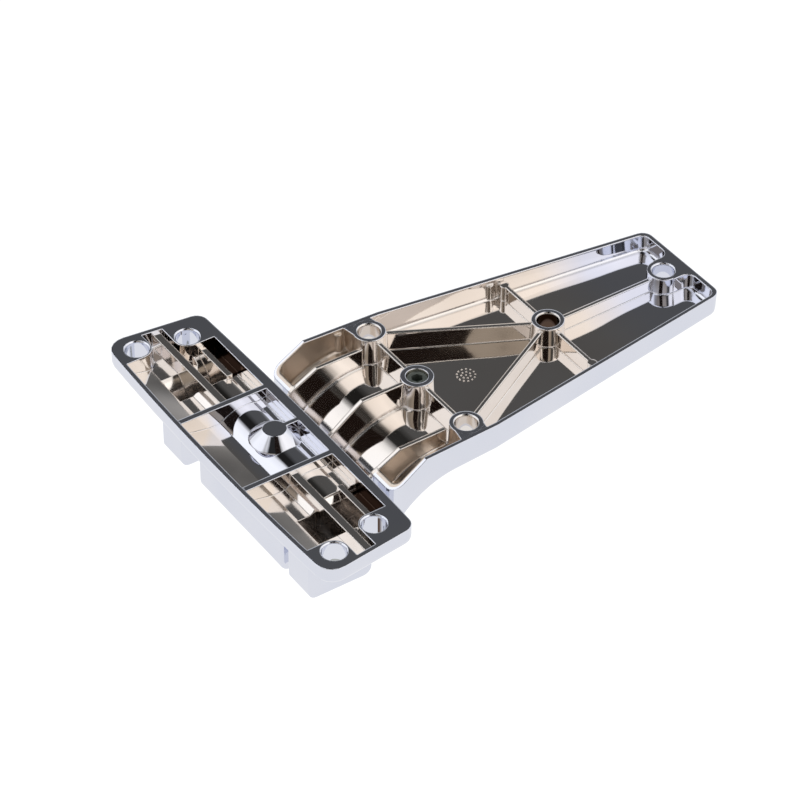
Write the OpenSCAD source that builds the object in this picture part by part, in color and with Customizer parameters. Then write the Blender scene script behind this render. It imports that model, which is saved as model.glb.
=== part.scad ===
// Surface-mounted tee hinge, die cast in two parts that swing on one pin.
// X runs from the base plate out along the leaf, Y along the pin, and Z towards the
// mounting side. The back of both castings lies in the plane z = 0, and the origin is
// the flat top of the cone boss in the middle of the base plate.

/* [Base plate] */
// Length of the base plate along its outer side
base_length = 144.8; // [140:0.2:152]
// From the cone boss to the outer long side, at the ends of that side
outer_reach = 25.4; // [24.6:0.1:28]
// From the cone boss to the long side next to the leaf, at the ends of that side
leaf_reach = 12.2; // [11.6:0.1:13.4]
// How far the outer long side bulges
outer_bulge = 2.1; // [0.5:0.1:3]
// How far the side next to the leaf bulges
leaf_bulge = 1.1; // [0.4:0.1:2]
// How much shorter the plate is, at each end, on the side next to the leaf
end_slant = 4.4; // [2:0.2:6]
// Corner radius on the outer side
outer_corner_r = 7; // [5:0.5:9]
// Corner radius on the side next to the leaf
leaf_corner_r = 4.5; // [3.6:0.1:6]
// Thickness of the plate at its edge
plate_t = 7.4; // [6.8:0.1:8.6]
// Rounding of the plate's front edge
plate_edge_r = 3; // [1:0.25:3.25]
// Width of the raised rim round the back
rim = 1.8; // [1.4:0.1:2.2]
// Extra width of the rim next to the leaf
leaf_rim_extra = 1.2; // [0.4:0.1:1.6]
// Half length of the middle cell
cell_half = 19.8; // [17:0.2:22]
// Thickness of the two cross ribs
cross_rib = 2.2; // [1.6:0.1:3]
// Diameter of the four screw holes
base_hole_d = 8.5; // [6:0.1:8.8]
// Wall round a screw hole
hole_wall = 1; // [0.8:0.1:1.4]
// Outer screw holes, from the cone boss across the plate
outer_hole_x = 17.1; // [16.4:0.1:17.6]
// Outer screw holes, in from the ends of the plate
outer_hole_in = 9.1; // [8.4:0.1:11]
// Screw holes next to the leaf, from the cone boss across the plate
leaf_hole_x = 1.3; // [0.8:0.1:2.4]
// Screw holes next to the leaf, in from the ends of the plate
leaf_hole_in = 13; // [11.9:0.1:14.4]
// Top diameter of the cone boss
cone_top_d = 8.4; // [7:0.1:9]
// Bottom diameter of the cone boss
cone_foot_d = 18.4; // [15:0.2:19]

/* [Ears and pin] */
// From the middle of the pin's length to the inner face of each ear
ear_inner = 34.9; // [33:0.1:36]
// Thickness of an ear at its front
ear_t = 12.4; // [11:0.1:14]
// Width of the ears and of the leaf's knuckle
block_w = 25.5; // [24.5:0.1:26.5]
// From the back plane to the flat front of the ears and the knuckle
block_depth = 34.9; // [34.4:0.1:36]
// Rounding along the front corners of the ears and the knuckle
block_corner_r = 3.2; // [2.6:0.1:4.5]
// Fillet between an ear and the plate's end
ear_fillet_r = 12; // [9:0.5:12.5]
// Wall of the hollow ears
ear_wall = 2.7; // [2.2:0.1:3.2]
// From the cone boss to the pin's axis, away from the leaf
pin_offset = 4.45; // [4.2:0.05:4.7]
// From the back plane to the pin's axis
pin_depth = 24; // [23.8:0.1:24.6]
// Diameter of the pin
pin_d = 10; // [8:0.5:11]
// Wall of the pin's boss inside a hollow ear
pin_boss_wall = 3.6; // [3:0.1:4]
// How far the pin's ends lie inside the ears
pin_recess = 0.6; // [0.3:0.1:2]
// Radial clearance of the pin in the ears, a tight fit
pin_fit = 0.02; // [0.01:0.01:0.05]
// Radial running clearance of the pin in the bushes
bush_run = 0.05; // [0.02:0.01:0.1]
// Outer diameter of the bushes
bush_d = 14; // [13:0.5:15]
// Diameter of a bush's collar
collar_d = 18; // [16.5:0.5:20]
// Length of a bush inside the knuckle
bush_length = 15; // [10:0.5:20]
// Play between a collar and the ear that it faces
end_play = 0.3; // [0.2:0.05:0.6]

/* [Leaf] */
// Length of the knuckle along the pin
knuckle_length = 54.2; // [52:0.2:55]
// How far along the pin the leaf has slid from the middle
leaf_slide = 3.8; // [3:0.1:4.2]
// From the cone boss to the leaf's shoulders
shoulder_x = 20; // [19.6:0.2:22]
// Half width at the shoulders
shoulder_half = 39.4; // [38:0.2:41]
// From the cone boss to the bend in the leaf's sides
bend_x = 64.7; // [60:0.5:70]
// Half width at the bend
bend_half = 37.4; // [36.6:0.2:39]
// From the cone boss to the far end of the leaf
leaf_end_x = 173.7; // [172:0.5:190]
// Half width at the far end
end_half = 22.2; // [20:0.2:25]
// Plan radius of the far corners
end_corner_r = 3.5; // [2.5:0.5:5]
// Plan radius of the shoulders
shoulder_corner_r = 4.5; // [3:0.5:6]
// Where the rim starts to slope down to the shoulders
slope_x = 34; // [32:0.5:36]
// Fall of the sloping rim for each millimetre of length
rim_fall = 0.629; // [0.55:0.01:0.7]
// Depth of the leaf where the neck ends
leaf_depth = 12.1; // [11.4:0.1:13]
// How much shallower the leaf gets for each millimetre of length
leaf_taper = 0.0225; // [0.01:0.0025:0.03]
// Where the front starts to curve down to the neck
neck_x = 48.2; // [46:0.2:50]
// Radius of the curve into the neck
neck_r = 34; // [32:0.5:36]
// Slope of the neck, in degrees
neck_angle = 42; // [40:0.5:44]
// Rounding of the leaf's front edges
leaf_edge_r = 2.2; // [1:0.1:3]
// Thickness of the leaf's side walls
leaf_wall = 1.5; // [1.2:0.1:2]
// Thickness of the leaf's floor
floor_t = 2.9; // [2.4:0.1:3.2]
// Thickness of the ribs
rib_t = 1.6; // [1.2:0.1:2.2]
// Diameter of the four screw holes
leaf_hole_d = 8; // [6:0.1:8.6]
// Outer diameter of the leaf's bosses
leaf_boss_d = 11.9; // [11.2:0.1:13]
// Near screw holes and set screw, from the cone boss
near_hole_x = 56.5; // [54:0.1:58]
// Near screw holes, from the leaf's middle
near_hole_y = 30.1; // [29:0.1:30.6]
// Middle screw hole, from the cone boss
mid_hole_x = 113; // [105:0.5:118]
// Far screw hole, from the cone boss
far_hole_x = 164.7; // [160:0.1:165.2]
// Diameter of the set screw
screw_d = 8; // [6:0.5:8.5]
// Length of the set screw
screw_length = 8; // [6:0.25:8.5]
// Width across the flats of the set screw's socket
socket_af = 4; // [3:0.5:4]

/* [Hidden] */
$fn = 72;
eps = 0.01;

CHROME = "#c9ccd4";
STEEL = "#9a9d98";
NYLON = "#3a3b3d";

// Derived places
pin_x = -pin_offset;
pin_z = -pin_depth;
block_x0 = pin_x - block_w / 2;
block_x1 = pin_x + block_w / 2;
ear_outer = ear_inner + ear_t;
fillet_y = ear_outer + ear_fillet_r;
fillet_z = -plate_t - ear_fillet_r;
outer_hole_y = base_length / 2 - outer_hole_in;
leaf_hole_y = base_length / 2 - leaf_hole_in;
leaf_y = -leaf_slide;
close_gap = ear_inner - knuckle_length / 2 - leaf_slide;
collar_t = close_gap - end_play;
sweep_r = norm([block_w / 2 - block_corner_r, block_depth - pin_depth - block_corner_r]) + block_corner_r;
sweep_gap = 0.7;

// Shape of the base's floor, front to back of the plate
floor_edge_z = -5.1;
floor_low_z = -7.2;
floor_low_x0 = -14.6;
floor_low_x1 = -10.6;
hump_x = 0.2;
hump_r = 16;
hump_top_z = -3.6;
skin_t = 2.2;
land_z = -4.3;
ledge_z = -3.8;
ledge_w = 2;
crown_t = 2.3;

// Ribs and slots in the end cells of the base
long_rib_x = -6.45;
long_rib_t = 2.9;
long_rib_z = -1;
short_rib_x = 3.6;
short_rib_t = 2.3;
short_rib_z = -2;
side_floor_z = -5.6;
mouth_bevel = 1.8;
web_t = 1.8;

// The leaf's neck, ribs and bosses
neck_half = knuckle_length / 2;
side_rib_z = -2.7;
rib_step = 0.25;
side_rib_fall = 0.56;
side_rib_bend_x = 31.5;
mid_rib_z = -0.4;
mid_rib_fall = 0.742;
mid_rib_bend_x = 32.7;
cross_rib_z = -1.2;
far_rib_z = -1.6;
boss_flare = 0.5;
shoulder_wall = 2.4;
end_wall = 1.8;
wall_draft = 0.6;
pocket_foot_r = 1.5;
pocket_corner_r = 2.5;
channel_wall = 1.6;
flange_half = 6.3;
flange_fillet_r = 3.5;
post_d = 3.6;
post_gap = 4;
pad_d = 3;
hole_lead = 0.5;

// Points along an arc about c, from angle a0 to a1
function arc(c, r, a0, a1, n) =
    [for (i = [0:n]) let (a = a0 + (a1 - a0) * i / n) c + r * [cos(a), sin(a)]];
function unit(v) = v / norm(v);
function wrap(p, i) = p[(i + len(p)) % len(p)];

// Replaces the corner at b by an arc of radius r that touches both of its sides
function corner(a, b, c, r, n) =
    r == 0 ? [b] :
    let (u = unit(a - b), v = unit(c - b),
         half = acos(u * v) / 2,
         m = b + unit(u + v) * r / sin(half),
         p = b + u * r / tan(half),
         q = b + v * r / tan(half),
         a0 = atan2(p.y - m.y, p.x - m.x),
         turn = atan2(q.y - m.y, q.x - m.x) - a0,
         sweep = turn > 180 ? turn - 360 : turn < -180 ? turn + 360 : turn)
    arc(m, r, a0, a0 + sweep, n);

// Rounds a polygon's corners: each vertex is [x, y, radius]
function rounded(v, n = 5) = [for (i = [0:len(v) - 1])
    each corner(xy(wrap(v, i - 1)), xy(v[i]), xy(wrap(v, i + 1)), v[i].z, n)];
function xy(v) = [v.x, v.y];

// Moves each side of a counter-clockwise polygon inwards by d
function inset(p, d) = [for (i = [0:len(p) - 1])
    let (u = unit(p[i] - wrap(p, i - 1)), v = unit(wrap(p, i + 1) - p[i]),
         nu = [-u.y, u.x], nv = [-v.y, v.x])
    p[i] + (nu + nv) * d / (1 + nu * nv)];

// Skins a stack of rings that all have the same number of points. Each end is closed by
// triangles that meet in a hub, so an end may be a star-shaped outline.
module loft(rings, hubs = []) {
    n = len(rings[0]);
    last = len(rings) - 1;
    first_hub = n * (last + 1);
    ends = len(hubs) == 2 ? hubs : [middle(rings[0]), middle(rings[last])];
    polyhedron(
        points = concat([for (r = rings) each r], ends),
        faces = [for (i = [0:n - 1])
            let (j = (i + 1) % n)
            each concat(
                [[j, i, first_hub], [last * n + i, last * n + j, first_hub + 1]],
                [for (k = [0:last - 1])
                    each [[k * n + i, (k + 1) * n + j, (k + 1) * n + i],
                          [k * n + i, k * n + j, (k + 1) * n + j]]])],
        convexity = 10);
}
function middle(p, i = 0) = i == len(p) - 1 ? p[i] / len(p) : p[i] / len(p) + middle(p, i + 1);

// Extrudes an X-Z profile from y0 to y1
module along_y(y0, y1) {
    translate([0, y1, 0]) rotate([90, 0, 0]) linear_extrude(y1 - y0) children();
}

// A cylinder round an axis parallel to the pin
module y_cylinder(x, z, r, y0, y1) {
    translate([x, y1, z]) rotate([90, 0, 0]) cylinder(r = r, h = y1 - y0);
}

// Both ends of the base, mirrored about its middle
module both_ends() {
    children();
    mirror([0, 1, 0]) children();
}

// A straight rib between two points, from z0 up to z1
module rib(p, q, t, z0, z1) {
    d = q - p;
    translate([p.x, p.y, z0]) rotate(atan2(d.y, d.x)) translate([0, -t / 2, 0]) cube([norm(d), t, z1 - z0]);
}

// Base casting

// How far a long side stands out at y, for a bulge b at its middle
function bulged(b, y, y_end) = b * (1 - pow(y / y_end, 2));

function base_outline() =
    let (yo = base_length / 2, yl = yo - end_slant, steps = [-0.75, -0.5, -0.25, 0, 0.25, 0.5, 0.75])
    rounded(concat(
        [[leaf_reach, -yl, leaf_corner_r]],
        [for (s = steps) [leaf_reach + bulged(leaf_bulge, s, 1), s * yl, 0]],
        [[leaf_reach, yl, leaf_corner_r], [-outer_reach, yo, outer_corner_r]],
        [for (s = steps) [-outer_reach - bulged(outer_bulge, s, 1), -s * yo, 0]],
        [[-outer_reach, -yo, outer_corner_r]]));

module plate_body() {
    outline = base_outline();
    rounding = [for (a = [0:22.5:90]) [plate_edge_r * (1 - cos(a)), -plate_t + plate_edge_r * (1 - sin(a))]];
    loft([for (s = concat([[0, 0]], rounding)) [for (p = inset(outline, s[0])) [p.x, p.y, s[1]]]]);
}

// Flat-fronted block of the ears and the knuckle, across the pin
function block_profile(x0, x1, front, r, top) =
    rounded([[x0, front, r], [x1, front, r], [x1, top, 0], [x0, top, 0]]);

// The front of the plate swells out towards the ears
module crown() {
    y0 = fillet_y - 2;
    along_y(-y0, y0)
        polygon([[-outer_reach + plate_edge_r / 2, -plate_t + skin_t],
                 [-outer_reach + plate_edge_r / 2, -plate_t],
                 [floor_low_x0, -plate_t - crown_t], [floor_low_x1, -plate_t - crown_t],
                 [leaf_reach - plate_edge_r, -plate_t], [leaf_reach - plate_edge_r, -plate_t + skin_t]]);
}

module ear_body() {
    difference() {
        along_y(ear_inner, fillet_y)
            polygon(block_profile(block_x0, block_x1, -block_depth, block_corner_r, -plate_t + skin_t));
        y_to_x_cylinder(fillet_y, fillet_z, ear_fillet_r);
        translate([block_x0 - 1, ear_outer, -block_depth - 1])
            cube([block_w + 2, ear_fillet_r + 1, block_depth + 1 + fillet_z]);
    }
}

// A cylinder across the plate, long enough to pass through an ear
module y_to_x_cylinder(y, z, r) {
    translate([block_x0 - 5, y, z]) rotate([0, 90, 0]) cylinder(r = r, h = block_w + 10);
}

// The hollow of an ear, with the fillet's wall kept at one thickness
module ear_hollow() {
    difference() {
        union() {
            along_y(ear_inner + ear_wall, fillet_y)
                polygon(block_profile(block_x0 + ear_wall, block_x1 - ear_wall, -block_depth + ear_wall,
                                      block_corner_r - 1, land_z));
            hollow_mouth();
        }
        y_to_x_cylinder(fillet_y, fillet_z, ear_fillet_r + ear_wall);
        translate([block_x0 - 1, ear_outer - ear_wall, -block_depth - 1])
            cube([block_w + 2, ear_fillet_r + ear_wall + 1, block_depth + 1 + fillet_z]);
        y_cylinder(pin_x, pin_z, pin_d / 2 + pin_boss_wall, ear_inner, ear_outer);
    }
}

// Everything inside the rim, down to the lowest floor
module rim_inside() {
    inner = inset(base_outline(), rim);
    intersection() {
        translate([0, 0, floor_low_z]) linear_extrude(-floor_low_z + 1) polygon(inner);
        translate([-outer_reach - 10, -base_length, floor_low_z - 1])
            cube([outer_reach + 10 + leaf_reach - rim - leaf_rim_extra, 2 * base_length, 12]);
    }
}

// The floor's sloping outer side, its hump over the knuckle and the ledge next to the leaf
module floor_shape() {
    y0 = base_length / 2;
    along_y(-y0, y0)
        polygon([[-outer_reach - 5, -plate_t - 1], [-outer_reach - 5, floor_edge_z],
                 [-outer_reach, floor_edge_z], [floor_low_x0, floor_low_z], [floor_low_x0, -plate_t - 1]]);
    hump_z = hump_top_z - hump_r;
    y1 = ear_inner + ear_wall;
    y_cylinder(hump_x, hump_z, hump_r, -y1, y1);
    translate([hump_x, -y0, floor_low_z - 1]) cube([leaf_reach, 2 * y0, land_z - floor_low_z + 1]);
    translate([leaf_reach - rim - leaf_rim_extra - ledge_w, -y1, floor_low_z - 1])
        cube([ledge_w + 5, 2 * y1, ledge_z - floor_low_z + 1]);
}

// Solid land round a screw hole, with a corner that follows the hole
module hole_land(x, y, side) {
    r = base_hole_d / 2 + hole_wall;
    depth = plate_t + 3;
    translate([x, y, -depth]) {
        cylinder(r = r, h = depth);
        translate([side > 0 ? 0 : -40, -r, 0]) cube([40, 40, depth]);
        translate([side > 0 ? -r : -40, 0, 0]) cube([40 + r, 40, depth]);
    }
}

module end_cell_ribs() {
    low = -block_depth;
    rib([long_rib_x, cell_half], [long_rib_x, base_length / 2], long_rib_t, low, long_rib_z);
    rib([short_rib_x, ear_inner], [short_rib_x, leaf_hole_y], short_rib_t, low, short_rib_z);
    hole_land(-outer_hole_x, outer_hole_y, -1);
    hole_land(leaf_hole_x, leaf_hole_y, 1);
    translate([-outer_reach, cell_half, low]) cube([outer_reach + leaf_reach, cross_rib, -low]);
}

module cone_boss() {
    translate([0, 0, land_z]) cylinder(d1 = cone_foot_d, d2 = cone_top_d, h = -land_z);
    rib([0, 0], [leaf_reach, 0], web_t, land_z, 0);
}

module base_casting() color(CHROME) {
    difference() {
        union() {
            plate_body();
            crown();
            both_ends() ear_body();
        }
        difference() {
            union() {
                difference() {
                    rim_inside();
                    floor_shape();
                }
                both_ends() ear_hollow();
            }
            both_ends() end_cell_ribs();
            cone_boss();
        }
        knuckle_recess();
        for (s = [-1, 1]) {
            y_cylinder(pin_x, pin_z, pin_d / 2 + pin_fit, min(s * ear_inner, s * ear_outer) - 1,
                       max(s * ear_inner, s * ear_outer) + 1);
            translate([-outer_hole_x, s * outer_hole_y, 0]) screw_hole(base_hole_d, plate_t + crown_t + 1);
            translate([leaf_hole_x, s * leaf_hole_y, 0]) screw_hole(base_hole_d, plate_t + crown_t + 1);
        }
    }
}

// Opens an ear's hollow up to the back of the plate, with bevelled edges towards the hump
// and the outer side, and a deeper floor next to the leaf
module hollow_mouth() {
    x0 = block_x0 + ear_wall;
    y0 = ear_inner + ear_wall;
    side_x = leaf_reach - rim - leaf_rim_extra;
    along_y(y0, fillet_y)
        polygon([[x0 - mouth_bevel, 1], [x0 - mouth_bevel, floor_low_z + mouth_bevel], [x0, floor_low_z - 1],
                 [block_x1 - ear_wall, floor_low_z - 1], [block_x1 - ear_wall, 1]]);
    translate([x0, 0, 0]) rotate([90, 0, 90]) linear_extrude(side_x - x0)
        polygon([[y0 - mouth_bevel, 1], [y0 - mouth_bevel, land_z], [y0, land_z - 1.2 * mouth_bevel],
                 [y0 + 1, land_z - 1.2 * mouth_bevel], [y0 + 1, 1]]);
    translate([block_x1 - ear_wall - 1, ear_inner + 1, side_floor_z])
        cube([side_x - block_x1 + ear_wall + 1, leaf_hole_y - ear_inner - 3, 1 - side_floor_z]);
}

// Room between the ears for the knuckle to turn in
module knuckle_recess() {
    y_cylinder(pin_x, pin_z, sweep_r + sweep_gap, -ear_inner, ear_inner);
    y_cylinder(hump_x, hump_top_z - hump_r, hump_r - skin_t, -ear_inner, ear_inner);
}

// A straight hole from the back face, with a broken edge
module screw_hole(d, depth) {
    translate([0, 0, -depth]) cylinder(d = d, h = depth + 1);
    translate([0, 0, -hole_lead]) cylinder(d1 = d, d2 = d + 2 * hole_lead, h = hole_lead + eps);
}

// Leaf casting, drawn about its own middle and then slid along the pin

function half_width(x) = x < bend_x
    ? shoulder_half + (bend_half - shoulder_half) * (x - shoulder_x) / (bend_x - shoulder_x)
    : bend_half + (end_half - bend_half) * (x - bend_x) / (leaf_end_x - bend_x);
function rim_z(x) = x < slope_x ? (x - slope_x) * rim_fall : 0;

// Front surface: a slow taper, then a curve, then the straight slope of the neck
neck_run = neck_r * sin(neck_angle);
neck_drop = neck_r * (1 - cos(neck_angle));
function front_z(x) =
    x > neck_x ? -leaf_depth + leaf_taper * (x - neck_x) :
    x > neck_x - neck_run ? -leaf_depth - neck_r + sqrt(neck_r * neck_r - pow(neck_x - x, 2)) :
    -leaf_depth - neck_drop - (neck_x - neck_run - x) * tan(neck_angle);

// One cross-section, with the front edges rounded
function section(x, w, top, bottom, r, draft) =
    let (half = concat([[w, top]], arc([w - draft - r, bottom + r], r, 0, -90, 5)))
    concat([for (p = half) [x, p[0], p[1]]],
           [for (i = [len(half) - 1:-1:0]) [x, -half[i][0], half[i][1]]]);

// Places along the leaf where the body's sections stand, with the corner rounding at each
function corner_steps() = [0, 22.5, 45, 67.5, 90];
function leaf_sections() = concat(
    [for (a = corner_steps())
        let (x = shoulder_x + shoulder_corner_r * (1 - cos(a)),
             w = half_width(x) - shoulder_corner_r * (1 - sin(a)))
        section(x, w, rim_z(x), front_z(x) + leaf_edge_r * (1 - sin(a)), leaf_edge_r, wall_draft / 2)],
    [for (x = [shoulder_x + shoulder_corner_r + 3:2.5:slope_x - 1])
        section(x, half_width(x), rim_z(x), front_z(x), leaf_edge_r, wall_draft / 2)],
    [for (x = concat([for (x = [slope_x:2.5:neck_x - 1]) x], [neck_x, bend_x]))
        section(x, half_width(x), 0, front_z(x), leaf_edge_r, wall_draft / 2)],
    [for (i = [len(corner_steps()) - 1:-1:0])
        let (a = corner_steps()[i], x = leaf_end_x - end_corner_r * (1 - cos(a)),
             w = half_width(x) - end_corner_r * (1 - sin(a)))
        section(x, w, 0, front_z(x) + leaf_edge_r * (1 - sin(a)), leaf_edge_r, wall_draft / 2)]);

// The pocket's cross-sections, narrower and shallower in its rounded corners
function pocket_section(x, close) =
    section(x, half_width(x) - leaf_wall - close, 1, front_z(x) + floor_t + close / 2, pocket_foot_r,
            wall_draft);
function pocket_sections() =
    let (x0 = shoulder_x + shoulder_wall, x1 = leaf_end_x - end_wall,
         r = pocket_corner_r, steps = corner_steps())
    concat(
        [for (a = steps) pocket_section(x0 + r * (1 - cos(a)), r * (1 - sin(a)))],
        [for (x = [x0 + r + 2.5:3:neck_x - 1]) pocket_section(x, 0)],
        [for (x = [neck_x, bend_x]) pocket_section(x, 0)],
        [for (i = [len(steps) - 1:-1:0])
            let (a = steps[i]) pocket_section(x1 - r * (1 - cos(a)), r * (1 - sin(a)))]);

// Side view of the knuckle and the neck
function neck_outline() =
    let (r = block_w / 2, root_x = shoulder_x + shoulder_corner_r + 1.5,
         // where the sloping top of the side ribs runs into the round back of the knuckle
         k = side_rib_fall, h = side_rib_at(pin_x) - pin_z,
         a = 1 + k * k, b = 2 * k * h, c = h * h - r * r,
         dx = (-b + sqrt(b * b - 4 * a * c)) / (2 * a),
         meet = atan2(h + k * dx, dx),
         foot_x = neck_x - neck_run - (block_depth - leaf_depth - neck_drop) / tan(neck_angle))
    concat(
        [[root_x, side_rib_at(root_x)]],
        arc([pin_x, pin_z], r, meet, 180, 18),
        corner([block_x0, pin_z], [block_x0, -block_depth], [foot_x, -block_depth], block_corner_r, 6),
        corner([block_x0, -block_depth], [foot_x, -block_depth], [root_x, front_z(root_x)], 8, 6),
        [[root_x, front_z(root_x)]]);
function side_rib_at(x) = side_rib_z - max(0, side_rib_bend_x - x) * side_rib_fall;

module neck_body() {
    profile = neck_outline();
    round_r = 1.2;
    ends = [for (a = [0:30:90]) [round_r * (1 - sin(a)), round_r * (1 - cos(a))]];
    near = [for (e = ends) [for (p = inset(profile, e[0])) [p.x, -neck_half + e[1], p.y]]];
    far = [for (i = [len(ends) - 1:-1:0])
        [for (p = inset(profile, ends[i][0])) [p.x, neck_half - ends[i][1], p.y]]];
    hub = [0, pin_z];
    loft(concat(near, far), [[hub.x, -neck_half, hub.y], [hub.x, neck_half, hub.y]]);
}

// The two open channels of the neck. Their floor keeps one distance from the front and ends
// in a round trough at the knuckle.
module neck_channels() {
    x0 = block_x1 + 1.5;
    bend_r = neck_r + channel_wall;
    slope_end = [neck_x - bend_r * sin(neck_angle), -leaf_depth - neck_r + bend_r * cos(neck_angle)];
    trough_z = slope_end.y - (slope_end.x - x0) * tan(neck_angle);
    y0 = neck_half - rib_t / 2 - rib_step;
    along_y(-y0, y0)
        polygon(concat(
            [[x0, 1]],
            corner([x0, 1], [x0, trough_z], slope_end, 5, 7),
            arc([neck_x, -leaf_depth - neck_r], bend_r, 90 + neck_angle, 90, 12),
            [[near_hole_x, -leaf_depth + channel_wall], [near_hole_x, 1]]));
}

module boss(x, y) {
    translate([x, y, -leaf_depth])
        cylinder(d1 = leaf_boss_d + 2 * boss_flare, d2 = leaf_boss_d, h = leaf_depth);
}

// The flange from the far boss to the end wall, which it meets in two fillets
function far_flange() =
    let (x1 = leaf_end_x - end_wall + eps, w = flange_half, out = flange_half + flange_fillet_r + 1)
    rounded([[far_hole_x, -w, 0], [x1, -w, flange_fillet_r], [x1, -out, 0], [x1 + 1, -out, 0],
             [x1 + 1, out, 0], [x1, out, 0], [x1, w, flange_fillet_r], [far_hole_x, w, 0]]);

// What stands in the leaf's pocket
module leaf_ribs() {
    low = -block_depth;
    near = [near_hole_x, near_hole_y];
    mid = [mid_hole_x, 0];
    far = [far_hole_x, 0];
    centre = [near_hole_x, 0];
    post_y = half_width(mid_hole_x) - post_gap;
    boss(near_hole_x, 0);
    boss(mid_hole_x, 0);
    boss(far_hole_x, 0);
    rib(mid, far, rib_t, low, far_rib_z);
    translate([0, 0, low]) linear_extrude(-low) polygon(far_flange());
    along_y(-rib_t / 2, rib_t / 2)
        polygon([[near_hole_x, low], [near_hole_x, mid_rib_z], [mid_rib_bend_x, mid_rib_z],
                 [block_x0, mid_rib_z - (mid_rib_bend_x - block_x0) * mid_rib_fall], [block_x0, low]]);
    for (s = [-1, 1]) {
        side = [near_hole_x, s * near_hole_y];
        boss(side.x, side.y);
        rib(side, [near_hole_x - 2, s * (shoulder_half + 2)], leaf_boss_d - 1, low, -eps);
        rib(side, centre, rib_t, low, cross_rib_z);
        rib(side, mid, rib_t, low, cross_rib_z);
        rib(mid, [mid_hole_x, s * post_y], rib_t, low, far_rib_z);
        rib([mid_hole_x, s * post_y], [mid_hole_x - 1, s * (post_y + post_gap)], rib_t, low, far_rib_z - 0.6);
        translate([mid_hole_x, s * post_y, low]) cylinder(d = post_d, h = far_rib_z - low);
        rib_y = neck_half - rib_t / 2 - rib_step;
        along_y(s * rib_y - rib_t / 2, s * rib_y + rib_t / 2)
            polygon([[near_hole_x - leaf_boss_d / 2, low], [near_hole_x - leaf_boss_d / 2, side_rib_z],
                     [side_rib_bend_x, side_rib_z], [block_x0, side_rib_at(block_x0) + 2], [block_x0, low]]);
        for (x = [slope_x + 13.5, mid_hole_x - 4.5])
            translate([x, s * (half_width(x) - leaf_wall), low]) cylinder(d = pad_d, h = -low - 1.5);
    }
}

module leaf_casting() color(CHROME) translate([0, leaf_y, 0]) {
    bore_y = neck_half + 1;
    difference() {
        union() {
            loft(leaf_sections());
            neck_body();
        }
        difference() {
            union() {
                loft(pocket_sections());
                neck_channels();
            }
            leaf_ribs();
        }
        y_cylinder(pin_x, pin_z, pin_d / 2 + 0.4, -bore_y, bore_y);
        for (s = [-1, 1])
            y_cylinder(pin_x, pin_z, bush_d / 2 + pin_fit, s > 0 ? neck_half - bush_length : -bore_y,
                       s > 0 ? bore_y : -neck_half + bush_length);
        for (p = [[near_hole_x, near_hole_y], [near_hole_x, -near_hole_y], [mid_hole_x, 0], [far_hole_x, 0]])
            translate([p.x, p.y, 0]) screw_hole(leaf_hole_d, leaf_depth + 2);
        translate([near_hole_x, 0, -screw_seat]) cylinder(d = screw_d + 2 * pin_fit, h = screw_seat + 1);
    }
}

// Depth of the blind hole that holds the set screw
screw_top = 0.9;
screw_seat = screw_top + screw_length;

module hinge_pin() color(STEEL) {
    half = ear_outer - pin_recess;
    lead = 0.8;
    translate([pin_x, half, pin_z]) rotate([90, 0, 0]) {
        cylinder(d1 = pin_d - 2 * lead, d2 = pin_d, h = lead);
        translate([0, 0, lead]) cylinder(d = pin_d, h = 2 * half - 2 * lead);
        translate([0, 0, 2 * half - lead]) cylinder(d1 = pin_d, d2 = pin_d - 2 * lead, h = lead);
    }
}

// A collared bush, with its collar against the knuckle's end
module bush() {
    rotate([-90, 0, 0]) difference() {
        union() {
            translate([0, 0, -bush_length]) cylinder(d = bush_d, h = bush_length);
            cylinder(d = collar_d, h = collar_t);
        }
        translate([0, 0, -bush_length - 1])
            cylinder(d = pin_d + 2 * bush_run, h = bush_length + collar_t + 2);
    }
}

module lower_bush() color(NYLON) {
    translate([pin_x, leaf_y - neck_half, pin_z]) mirror([0, 1, 0]) bush();
}

module upper_bush() color(NYLON) {
    translate([pin_x, leaf_y + neck_half, pin_z]) bush();
}

module set_screw() color(STEEL) {
    lead = 0.6;
    depth = socket_af;
    translate([near_hole_x, leaf_y, -screw_seat]) difference() {
        union() {
            cylinder(d = screw_d, h = screw_length - lead);
            translate([0, 0, screw_length - lead]) cylinder(d1 = screw_d, d2 = screw_d - 2 * lead, h = lead);
        }
        translate([0, 0, screw_length - depth]) cylinder(d = socket_af / cos(30), h = depth + 1, $fn = 6);
    }
}

base_casting();
leaf_casting();
hinge_pin();
lower_bush();
upper_bush();
set_screw();
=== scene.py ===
# Tee hinge seen from its mounting side: bright chrome plate on two zinc die castings.
import math

import bmesh
import bpy
from mathutils import Matrix, Vector


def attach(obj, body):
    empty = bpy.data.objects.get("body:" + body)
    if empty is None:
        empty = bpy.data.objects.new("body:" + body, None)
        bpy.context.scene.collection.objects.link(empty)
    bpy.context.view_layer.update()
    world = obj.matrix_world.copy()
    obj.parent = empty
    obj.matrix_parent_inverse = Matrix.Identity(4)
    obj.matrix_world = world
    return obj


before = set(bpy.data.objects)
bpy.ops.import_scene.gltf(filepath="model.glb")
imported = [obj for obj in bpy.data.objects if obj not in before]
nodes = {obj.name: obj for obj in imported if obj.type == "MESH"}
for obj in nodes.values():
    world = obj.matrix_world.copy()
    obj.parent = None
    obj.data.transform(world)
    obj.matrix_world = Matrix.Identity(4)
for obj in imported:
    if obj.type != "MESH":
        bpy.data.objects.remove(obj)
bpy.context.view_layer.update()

MM = 0.001

# Places on the castings, in millimetres, repeated from the part's source. Half widths of the
# leaf count from its middle at LEAF_Y, and those of the base from y = 0.
PIN_X, PIN_Z = -4.45, -24.0
EDGE_R = 0.6
HOLE_R = 5.0

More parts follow.
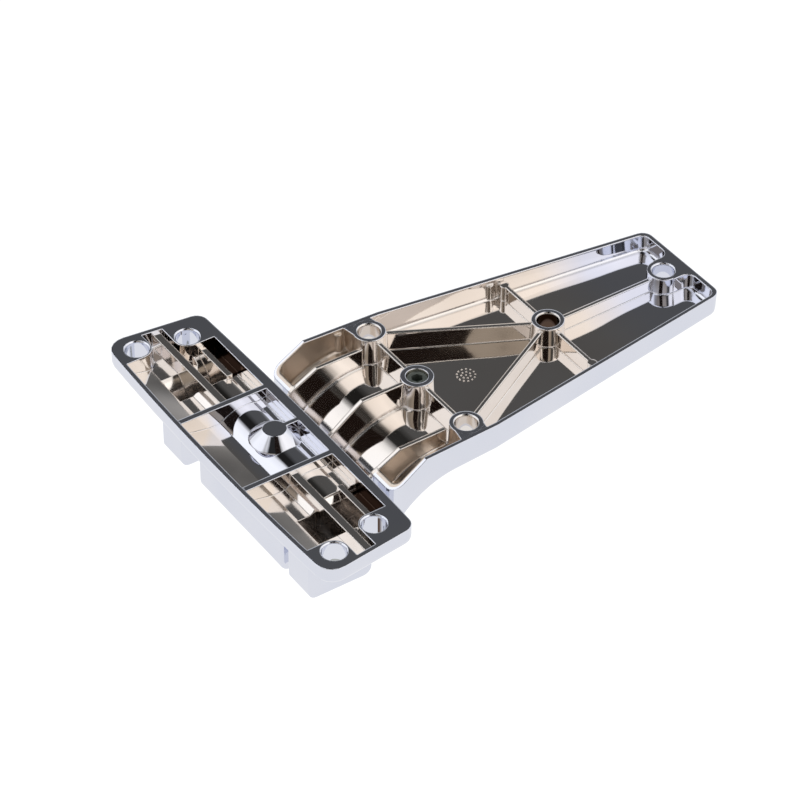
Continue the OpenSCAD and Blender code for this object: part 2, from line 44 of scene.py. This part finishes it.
LEAF_Y = -3.8
LEAF_DEPTH, LEAF_TAPER = 12.1, 0.0225
FLOOR_T = 2.9
NECK_X, NECK_R, NECK_HALF = 48.2, 34.0, 27.1
NECK_RUN, NECK_SLOPE = 22.75, 0.9
FOOT_X = 9.5
BEND_X, BEND_HALF = 64.7, 37.4
END_X, END_HALF, END_WALL = 173.7, 22.2, 1.4
SHOULDER_X, SHOULDER_HALF, SHOULDER_R = 20.0, 39.4, 4.5
MID_HOLE_X, FAR_HOLE_X = 113.0, 164.7

CELLS_X, CELLS_Z = (-25.2, 9.6), (-7.3, -0.15)
CELLS_END, CELLS_SLANT = 67.6, 0.117
OUTER_HOLE, LEAF_HOLE = (-17.1, 63.3), (1.3, 59.4)
HOLLOW_X, HOLLOW_Z = (-15.6, 6.8), (-33.4, -7.3)
HOLLOW_INNER, HOLLOW_OUTER = 36.4, 45.8
EAR_FILLET_Y, EAR_FILLET_Z, EAR_FILLET_R = 59.3, -19.4, 13.0
SLOT_X, SLOT_Y, SLOT_Z = (4.6, 9.6), (37.0, 57.0), (-7.3, -1.6)

# How far in from the outer face of a wall its inside begins
SKIN_FROM, SKIN_TO = 0.9, 1.3
# Further out than any place on the hinge
BEYOND = 60.0


# Colours are written as sRGB hex and used as linear light
def colour(hex_value):
    channels = [int(hex_value[i:i + 2], 16) / 255 for i in (1, 3, 5)]
    return [c / 12.92 if c <= 0.04045 else ((c + 0.055) / 1.055) ** 2.4 for c in channels] + [1]


# Adds one node, sets its properties and sockets, and links sockets given as a node or as
# (node, output). A socket is named, with _ for a space, or given by number as i0, i1, ...
def add(tree, kind, settings=None, **sockets):
    made = tree.nodes.new("ShaderNode" + kind)
    for key, value in (settings or {}).items():
        setattr(made, key, value)
    for key, value in sockets.items():
        numbered = key[0] == "i" and key[1:].isdigit()
        socket = made.inputs[int(key[1:]) if numbered else key.replace("_", " ")]
        if isinstance(value, tuple) and hasattr(value[0], "outputs"):
            tree.links.new(value[0].outputs[value[1]], socket)
        elif hasattr(value, "outputs"):
            tree.links.new(value.outputs[0], socket)
        else:
            socket.default_value = value
    return made


# One step of arithmetic on nodes or numbers
def calc(tree, kind, *values):
    return add(tree, "Math", {"operation": kind}, **{f"i{i}": v for i, v in enumerate(values)})


def times(tree, first, *others):
    for other in others:
        first = calc(tree, "MULTIPLY", first, other)
    return first


def one_minus(tree, value):
    return calc(tree, "SUBTRACT", 1.0, value)


# The length of the line with these two legs
def distance(tree, a, b):
    square = calc(tree, "ADD", times(tree, a, a), times(tree, b, b))
    return calc(tree, "SQRT", square)


# 0 below low, 1 above high, smooth between
def rise(tree, value, low, high):
    return add(tree, "MapRange", {"interpolation_type": "SMOOTHSTEP"},
               Value=value, From_Min=low, From_Max=high)


# 1 below low, 0 above high, smooth between
def fall(tree, value, low, high):
    return rise(tree, times(tree, value, -1.0), -high, -low)


# A straight line from to[0] at span[0] to to[1] at span[1], and level outside of the span
def line(tree, value, span, to=(0.0, 1.0)):
    return add(tree, "MapRange", Value=value, From_Min=span[0], From_Max=span[1],
               To_Min=to[0], To_Max=to[1])


# Blends colour a into colour b
def blend(tree, share, a, b):
    return add(tree, "Mix", {"data_type": "RGBA"}, Factor=share, i6=a, i7=b), 2


# Blends number a into number b
def shift(tree, share, a, b):
    return add(tree, "Mix", {"data_type": "FLOAT"}, Factor=share, i2=a, i3=b)


# Noise with grains of a size in millimetres
def noise(tree, place, grain, detail):
    made = add(tree, "TexNoise", Vector=(place, "Object"), Scale=1 / (grain * MM), Detail=detail)
    return made, "Fac"


# 1 between low and high, with soft ends over blur; the three lengths are in millimetres
def between(tree, value, low, high, blur=0.3):
    return times(tree, rise(tree, value, (low - blur) * MM, low * MM),
                 fall(tree, value, high * MM, (high + blur) * MM))


# 1 further than radius from the upright axis at (at_x, at_y), in millimetres
def clear_of(tree, x, y, at_x, at_y, radius):
    reach = distance(tree, calc(tree, "SUBTRACT", x, at_x * MM),
                     calc(tree, "SUBTRACT", y, at_y * MM))
    return rise(tree, reach, radius * MM, (radius + 0.1) * MM)


def new_material(name):
    material = bpy.data.materials.new(name)
    material.use_nodes = True
    material.node_tree.nodes.clear()
    return material, material.node_tree


# Height over the leaf's front skin, which follows the taper, then the neck's curve and slope
def above_skin(tree, x, z):
    straight = calc(tree, "MULTIPLY_ADD", x, LEAF_TAPER,
                    (-LEAF_DEPTH - LEAF_TAPER * NECK_X) * MM)
    before = calc(tree, "MAXIMUM", calc(tree, "SUBTRACT", NECK_X * MM, x), 0.0)
    on_curve = calc(tree, "MINIMUM", before, NECK_RUN * MM)
    square = calc(tree, "SUBTRACT", (NECK_R * MM) ** 2, times(tree, on_curve, on_curve))
    curve = calc(tree, "SUBTRACT", calc(tree, "SQRT", square), NECK_R * MM)
    slope = times(tree, calc(tree, "SUBTRACT", before, on_curve), -NECK_SLOPE)
    drop = calc(tree, "ADD", curve, slope)
    return calc(tree, "SUBTRACT", z, calc(tree, "ADD", straight, drop))


# Where the plating is thin: the inside of a casting keeps the warm tone of the nickel under
# the chrome. Each casting gives its own test of four values: the share of the warm tone, the
# radius that its edges are rounded to, where the metal is all but bare with its colour darkened
# as painted shade, and where a dark painted shade is laid into deep cells and holes.
def inside_leaf(tree, axes):
    x, y, z = ((axes, i) for i in range(3))
    away = calc(tree, "ABSOLUTE", calc(tree, "SUBTRACT", y, LEAF_Y * MM))
    # the outer walls run out from the shoulders to the bend, and then in to the far end
    near = line(tree, x, (SHOULDER_X * MM, BEND_X * MM), (SHOULDER_HALF * MM, BEND_HALF * MM))
    far = line(tree, x, (BEND_X * MM, END_X * MM), (0.0, (BEND_HALF - END_HALF) * MM))
    depth_in = calc(tree, "SUBTRACT", calc(tree, "SUBTRACT", near, far), away)
    walls = calc(tree, "MINIMUM", rise(tree, depth_in, SKIN_FROM * MM, SKIN_TO * MM),
                 between(tree, x, FOOT_X, END_X - END_WALL))
    # before the shoulders only the neck is left
    beside = calc(tree, "MAXIMUM",
                  rise(tree, x, (SHOULDER_X + SKIN_FROM) * MM, (SHOULDER_X + SKIN_TO) * MM),
                  between(tree, away, -1.0, NECK_HALF - 0.6))
    # the shoulders' outer corners are rounded
    corner_x, corner_y = SHOULDER_X + SHOULDER_R, SHOULDER_HALF - SHOULDER_R
    corner = times(tree, clear_of(tree, x, away, corner_x, corner_y, SHOULDER_R - 1.1),
                   between(tree, x, 0.0, corner_x), between(tree, away, corner_y, BEYOND))
    above = above_skin(tree, x, z)
    inside = times(tree, walls, rise(tree, above, 0.5 * MM, 1.3 * MM), beside,
                   one_minus(tree, corner), fall(tree, z, -0.15 * MM, -0.02 * MM))
    # the curved floors of the neck run into their walls without an edge
    curved = times(tree, between(tree, x, FOOT_X, NECK_X + 2.8), between(tree, above, 0.6, 3.2),
                   between(tree, away, 1.5, NECK_HALF - 2.3))
    # the ribs are cast with round tops, so their edges run together
    radius = calc(tree, "MULTIPLY_ADD", inside, 0.3 * MM, EDGE_R * MM)
    radius = calc(tree, "MULTIPLY_ADD", curved, 1.5 * MM, radius)
    # the shoulder pockets and the foot of the neck are duller, and their colour is painted
    # darker: painted shade
    pockets = times(tree, between(tree, away, NECK_HALF + 0.4, BEYOND),
                    between(tree, x, 5.0, 52.0, 3.0))
    foot = between(tree, x, 5.0, 16.0, 9.0)
    bare_and_shade = times(tree, calc(tree, "MAXIMUM", pockets, foot), inside)
    # the middle screw hole's bore is painted dark brown: painted shade
    in_middle_hole = one_minus(tree, clear_of(tree, x, y, MID_HOLE_X, LEAF_Y, HOLE_R))
    painted_shade = times(tree, in_middle_hole, between(tree, z, -9.0, -1.2, 1.2))
    # towards the far end the chrome reaches the floor, and the hole there is as bright
    fade = line(tree, x, (128 * MM, 148 * MM), (1.0, 0.12))
    warm = times(tree, inside, fade, clear_of(tree, x, y, FAR_HOLE_X, LEAF_Y, HOLE_R))
    return warm, radius, bare_and_shade, painted_shade


def inside_base(tree, axes):
    x, y, z = ((axes, i) for i in range(3))
    away = calc(tree, "ABSOLUTE", y)
    # the end walls of the outer cells slant
    slant = calc(tree, "MULTIPLY_ADD", x, CELLS_SLANT, away)
    cells = times(tree, between(tree, x, *CELLS_X), between(tree, z, *CELLS_Z, 0.12),
                  fall(tree, slant, (CELLS_END - 0.4) * MM, CELLS_END * MM))
    # the screw holes and the rim round the outer ones took the full plate
    corner = times(tree, fall(tree, x, -13 * MM, -12 * MM),
                   rise(tree, away, 58.5 * MM, 59.0 * MM))
    cells = times(tree, cells, one_minus(tree, corner),
                  clear_of(tree, x, away, *OUTER_HOLE, HOLE_R),
                  clear_of(tree, x, away, *LEAF_HOLE, HOLE_R))
    # the hollow of an ear ends in the inner side of its fillet
    over_y = calc(tree, "SUBTRACT", EAR_FILLET_Y * MM, away)
    over_z = calc(tree, "SUBTRACT", z, EAR_FILLET_Z * MM)
    reach = distance(tree, over_y, over_z)
    over_fillet = times(tree, rise(tree, reach, EAR_FILLET_R * MM, (EAR_FILLET_R + 0.6) * MM),
                        rise(tree, over_z, -0.5 * MM, 0.0))
    in_ear = calc(tree, "MAXIMUM", over_fillet, between(tree, away, HOLLOW_INNER, HOLLOW_OUTER))
    hollow = times(tree, between(tree, x, *HOLLOW_X), between(tree, z, *HOLLOW_Z), in_ear,
                   between(tree, away, HOLLOW_INNER, EAR_FILLET_Y))
    # the middle cell took more chrome, but for the side away from the leaf
    outer_side = line(tree, x, (-15 * MM, -11 * MM), (1.0, 0.15))
    fade = calc(tree, "MAXIMUM", rise(tree, away, 20 * MM, 23 * MM), outer_side)
    warm = times(tree, calc(tree, "MAXIMUM", cells, hollow), fade)
    # the depth of the ears' hollows is painted dark brown, darker towards the bottom, and the
    # narrow cells towards the leaf are painted dark: both painted shade
    bare_and_shade = times(tree, hollow, fall(tree, z, -22 * MM, -7 * MM))
    painted_shade = times(tree, between(tree, x, *SLOT_X, 0.1), between(tree, away, *SLOT_Y, 1.5),
                  between(tree, z, *SLOT_Z, 1.2))
    return warm, EDGE_R * MM, bare_and_shade, painted_shade


# Chrome plate on a polished zinc die casting: a near mirror, a little wavy from the
# casting under it, warmer and duller inside the ribs where the chrome doesn't reach.
# The three bare values are the colour, roughness and metal share of the all but bare zinc;
# that colour, darker than the plate, is painted shade, as is the dark brown of the deep cells.
def chrome_plate(name, inside, haze_rough, bare_shade_hex, bare_rough, bare_metal):
    material, tree = new_material(name)
    place = add(tree, "TexCoord")
    axes = add(tree, "SeparateXYZ", Vector=(place, "Object"))
    warm, radius, bare_and_shade, painted_shade = inside(tree, axes)
    # tone drifts over a few centimetres, as plating thickness does
    tone = line(tree, noise(tree, place, 28, 2.0), (0.3, 0.7))
    chrome = blend(tree, tone, colour("#E3E5EE"), colour("#DEE1EC"))
    nickel = blend(tree, tone, colour("#EBE6E2"), colour("#E6DFD9"))
    plate = blend(tree, warm, chrome, nickel)
    # painted shade: the all but bare places get a darker colour, and deep cells and holes a dark
    # brown
    plate = blend(tree, bare_and_shade, plate, colour(bare_shade_hex))
    plate = blend(tree, painted_shade, plate, colour("#55443A"))
    # pores too fine to see leave a duller patch here and there
    haze = line(tree, noise(tree, place, 9, 1.0), (0.3, 0.75), haze_rough)
    rough = shift(tree, warm, 0.025, haze)
    rough = shift(tree, bare_and_shade, rough, bare_rough)
    # bare zinc scatters a little light, which a mirror doesn't
    metal = line(tree, bare_and_shade, (0.0, 1.0), (1.0, bare_metal))
    # waves 30 mm and 7 mm long in the skin of the casting
    edge = add(tree, "Bevel", {"samples": 8}, Radius=radius)
    sway = add(tree, "Bump", Strength=1.0, Distance=1.1 * MM, Normal=edge,
               Height=noise(tree, place, 30, 0.0))
    waves = add(tree, "Bump", Strength=0.55, Distance=0.015 * MM, Normal=sway,
                Height=noise(tree, place, 7, 1.0))
    shader = add(tree, "BsdfPrincipled", Base_Color=plate, Metallic=metal, Roughness=rough,
                 Normal=waves)
    add(tree, "OutputMaterial", Surface=shader)
    return material


# Phosphated steel: dull grey-green, its grain of about 0.15 mm drawn at 0.3 mm to show
def phosphated_steel():
    material, tree = new_material("phosphated_steel_screw")
    place = add(tree, "TexCoord")
    grain = noise(tree, place, 0.3, 3.0)
    grey = blend(tree, noise(tree, place, 2.5, 2.0), colour("#8E958F"), colour("#6F7672"))
    rough = line(tree, grain, (0.3, 0.7), (0.36, 0.58))
    edge = add(tree, "Bevel", {"samples": 4}, Radius=0.2 * MM)
    bump = add(tree, "Bump", Strength=0.4, Distance=0.02 * MM, Height=grain, Normal=edge)
    shader = add(tree, "BsdfPrincipled", Base_Color=grey, Metallic=0.85, Roughness=rough,
                 Normal=bump)
    add(tree, "OutputMaterial", Surface=shader)
    return material


# Ground steel rod: fine rings round the pin from the grinding wheel
def ground_steel():
    ring_step = 0.25 * MM
    material, tree = new_material("ground_steel_pin")
    place = add(tree, "TexCoord")
    # the wave texture repeats every pi / 10 at scale 1
    wave = add(tree, "TexWave", {"wave_type": "BANDS", "bands_direction": "Y"},
               Vector=(place, "Object"), Scale=math.pi / (10 * ring_step), Distortion=1.5,
               Detail=2.0)
    rings = (wave, "Fac")
    grey = blend(tree, rings, colour("#B9BBBA"), colour("#A3A6A6"))
    rough = line(tree, rings, (0.0, 1.0), (0.16, 0.3))
    bump = add(tree, "Bump", Strength=0.1, Distance=0.004 * MM, Height=rings)
    shader = add(tree, "BsdfPrincipled", Base_Color=grey, Metallic=1.0, Roughness=rough,
                 Normal=bump)
    add(tree, "OutputMaterial", Surface=shader)
    return material


# Moulded nylon: dark, with the soft sheen and faint mottling of a filled plastic
def moulded_nylon():
    material, tree = new_material("moulded_nylon_bush")
    place = add(tree, "TexCoord")
    mottle = noise(tree, place, 1.2, 4.0)
    dark = blend(tree, mottle, colour("#3A3C3F"), colour("#2B2C2F"))
    rough = line(tree, mottle, (0.3, 0.7), (0.4, 0.55))
    bump = add(tree, "Bump", Strength=0.3, Distance=0.02 * MM, Height=mottle)
    shader = add(tree, "BsdfPrincipled", Base_Color=dark, IOR=1.53, Roughness=rough,
                 Normal=bump)
    add(tree, "OutputMaterial", Surface=shader)
    return material


def dress(node_name, material):
    mesh = nodes[node_name].data
    mesh.materials.clear()
    mesh.materials.append(material)


leaf_plate = chrome_plate("chrome_plated_leaf", inside_leaf, (0.035, 0.07),
                          "#DACDC0", bare_rough=0.28, bare_metal=0.94)
base_plate = chrome_plate("chrome_plated_base", inside_base, (0.05, 0.14),
                          "#6E5F53", bare_rough=0.26, bare_metal=0.4)
dress("leaf_casting", leaf_plate)
dress("base_casting", base_plate)
dress("set_screw", phosphated_steel())
dress("hinge_pin", ground_steel())
nylon = moulded_nylon()
dress("lower_bush", nylon)
dress("upper_bush", nylon)


# Puts a new object with this data into the scene
def put(name, data):
    made = bpy.data.objects.new(name, data)
    bpy.context.scene.collection.objects.link(made)
    return made


# The mould's date wheel left a ring of low studs on the leaf's floor. Each ring is given by
# its radius and the number of its studs, and all lengths are in millimetres.
def date_ring(x, y, rings, stud_r):
    floor_z = -LEAF_DEPTH + LEAF_TAPER * (x - NECK_X) + FLOOR_T
    mesh = bpy.data.meshes.new("leaf_mould_ring")
    form = bmesh.new()
    for radius, count in rings:
        for i in range(count):
            turn = 2 * math.pi * i / count
            at = (x + radius * math.cos(turn), y + radius * math.sin(turn), floor_z + 0.02)
            bmesh.ops.create_uvsphere(form, u_segments=10, v_segments=6, radius=stud_r * MM,
                                      matrix=Matrix.Translation(Vector(at) * MM))
    form.to_mesh(mesh)
    form.free()
    for polygon in mesh.polygons:
        polygon.use_smooth = True
    ring = put("leaf_mould_ring", mesh)
    mesh.materials.append(leaf_plate)
    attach(ring, "leaf")


date_ring(77.0, -4.6, [(0, 1), (1.7, 7), (3.3, 13)], stud_r=0.36)

WHITE = colour("#FFFFFF")


# A white floor under the whole swing of the leaf
def studio_floor():
    half, clearance = 4.0, 3.0
    z = (PIN_Z - (END_X - PIN_X) - clearance) * MM
    mesh = bpy.data.meshes.new("studio_floor")
    mesh.from_pydata([(-half, -half, z), (half, -half, z), (half, half, z), (-half, half, z)],
                     [], [(0, 1, 2, 3)])
    floor = put("studio_floor", mesh)
    material, tree = new_material("white_studio_floor")
    rays = add(tree, "LightPath")
    seen = calc(tree, "MAXIMUM", (rays, "Is Camera Ray"), (rays, "Is Glossy Ray"))
    lit = add(tree, "BsdfDiffuse", Color=colour("#F4F4F6"))
    # white to the camera, and a shade less in the chrome, which keeps its outline
    in_chrome, more_to_camera = 0.92, 0.2
    bright = calc(tree, "MULTIPLY_ADD", (rays, "Is Camera Ray"), more_to_camera, in_chrome)
    glow = add(tree, "Emission", Color=WHITE, Strength=bright)
    share = times(tree, seen, 0.86)
    add(tree, "OutputMaterial", Surface=add(tree, "MixShader", i0=share, i1=lit, i2=glow))
    mesh.materials.append(material)


# Tints of the panels, and the panels by compass direction in degrees, from +X towards +Y,
# with their brightness: those that are seen low, at middle height and high up
COOL, WARM, BROWN = (0.97, 0.98, 1.0), (1.0, 0.975, 0.945), (1.0, 0.89, 0.76)
LOW_PANELS = [
    (0, 0.75, COOL), (30, 0.52, COOL), (95, 0.5, COOL), (105, 0.85, COOL), (170, 0.9, COOL),
    (200, 0.6, WARM), (250, 0.55, WARM), (280, 0.8, WARM), (340, 0.8, WARM),
    (359.9, 0.7, COOL)]
MIDDLE_PANELS = [
    (0, 0.92, COOL), (22, 0.84, COOL), (33, 0.1, COOL), (42, 0.075, COOL), (64, 0.07, COOL),
    (76, 0.012, WARM), (94, 0.012, WARM), (102, 0.86, COOL), (118, 1.0, COOL),
    (166, 0.92, COOL), (178, 0.28, WARM), (196, 0.22, BROWN), (226, 0.32, BROWN),
    (252, 0.34, BROWN), (260, 0.06, WARM), (270, 0.03, WARM), (279, 1.0, WARM),
    (298, 1.14, WARM), (306, 1.02, WARM), (335, 0.96, WARM), (359.9, 0.9, COOL)]
HIGH_PANELS = [
    (0, 0.6, COOL), (30, 0.03, COOL), (95, 0.02, COOL), (112, 0.8, COOL), (180, 0.9, COOL),
    (198, 0.02, COOL), (268, 0.02, WARM), (288, 0.85, WARM), (330, 0.85, WARM),
    (359.9, 0.6, COOL)]


def panel_ramp(tree, compass, panels):
    ramp = add(tree, "ValToRGB", Fac=compass)
    ramp.color_ramp.interpolation = "LINEAR"
    elements = ramp.color_ramp.elements
    while len(elements) > 1:
        elements.remove(elements[-1])
    for i, (angle, level, tint) in enumerate(panels):
        element = elements[0] if i == 0 else elements.new(angle / 360)
        element.position = angle / 360
        element.color = [level * channel for channel in tint] + [1]
    return ramp


# A room of bright panels and dark gaps for the chrome to reflect
def studio_room():
    world = bpy.data.worlds.new("studio_room")
    world.use_nodes = True
    tree = world.node_tree
    tree.nodes.clear()
    way = add(tree, "SeparateXYZ", Vector=(add(tree, "TexCoord"), "Generated"))
    turn = calc(tree, "DIVIDE", calc(tree, "ARCTAN2", (way, 1), (way, 0)), 2 * math.pi)
    compass = calc(tree, "FRACT", calc(tree, "ADD", turn, 1.0))
    low, middle, high = (panel_ramp(tree, compass, panels)
                         for panels in (LOW_PANELS, MIDDLE_PANELS, HIGH_PANELS))
    lower = blend(tree, rise(tree, (way, 2), 0.30, 0.52), (low, 0), (middle, 0))
    whole = blend(tree, rise(tree, (way, 2), 0.76, 0.82), lower, (high, 0))
    room = add(tree, "Background", Color=whole, Strength=1.26)
    backdrop = add(tree, "Background", Color=WHITE, Strength=1.0)
    rays = add(tree, "LightPath")
    shown = add(tree, "MixShader", i0=(rays, "Is Camera Ray"), i1=room, i2=backdrop)
    add(tree, "OutputWorld", Surface=shown)
    bpy.context.scene.world = world


# An upright dark card between the camera and the leaf cuts the bright room off from part of
# the ribs. Its lengths are in millimetres.
def black_card(corner, along, low, high):
    mesh = bpy.data.meshes.new("black_card")
    ends = [Vector(corner), Vector(corner) + Vector(along)]
    points = [(end.x * MM, end.y * MM, z * MM) for end in ends for z in (low, high)]
    mesh.from_pydata(points, [], [(0, 2, 3, 1)])
    card = put("black_card", mesh)
    material, tree = new_material("black_card_felt")
    add(tree, "OutputMaterial", Surface=add(tree, "BsdfDiffuse", Color=colour("#241D1A")))
    mesh.materials.append(material)
    card.visible_camera = card.visible_diffuse = False


# A lamp at place, in metres, turned to the hinge
def soft_lamp(name, place, size, power):
    lamp = bpy.data.lights.new(name, "AREA")
    lamp.shape = "RECTANGLE"
    lamp.size, lamp.size_y = size
    lamp.energy = power
    holder = put(name, lamp)
    holder.location = place
    aim = Vector((0.05, 0, 0)) - Vector(place)
    holder.rotation_euler = aim.to_track_quat("-Z", "Y").to_euler()
    # the chrome mirrors the panels of the room, not the lamps
    holder.visible_glossy = False


studio_floor()
studio_room()
black_card((-1, -202), (-111, 45), 60, 400)
soft_lamp("left_back_softbox", (-0.9, 1.0, 0.75), (0.7, 0.5), 9.0)
soft_lamp("right_front_softbox", (0.75, -1.0, 0.9), (0.6, 0.5), 6.0)

# Camera at the photograph's place, 1.2 m away, as it was fitted to the picture
CAMERA_AT, CAMERA_LOOK = (-472.8, -768.4, 769.8), (0.4319, 0.6324, -0.6431)
CAMERA_ROLL = 0.34
look = Vector(CAMERA_LOOK).normalized()
side = look.cross(Vector((0, 0, 1))).normalized()
upward = side.cross(look)
roll = math.radians(CAMERA_ROLL)
right = side * math.cos(roll) + upward * math.sin(roll)
top = upward * math.cos(roll) - side * math.sin(roll)
stand = Matrix((right, top, -look)).transposed().to_4x4()
stand.translation = Vector(CAMERA_AT) * MM
lens = bpy.data.cameras.new("camera")
lens.sensor_width = 36.0
lens.lens = 155.61
camera = put("camera", lens)
camera.matrix_world = stand
bpy.context.scene.camera = camera
bpy.context.scene.view_settings.view_transform = "Standard"
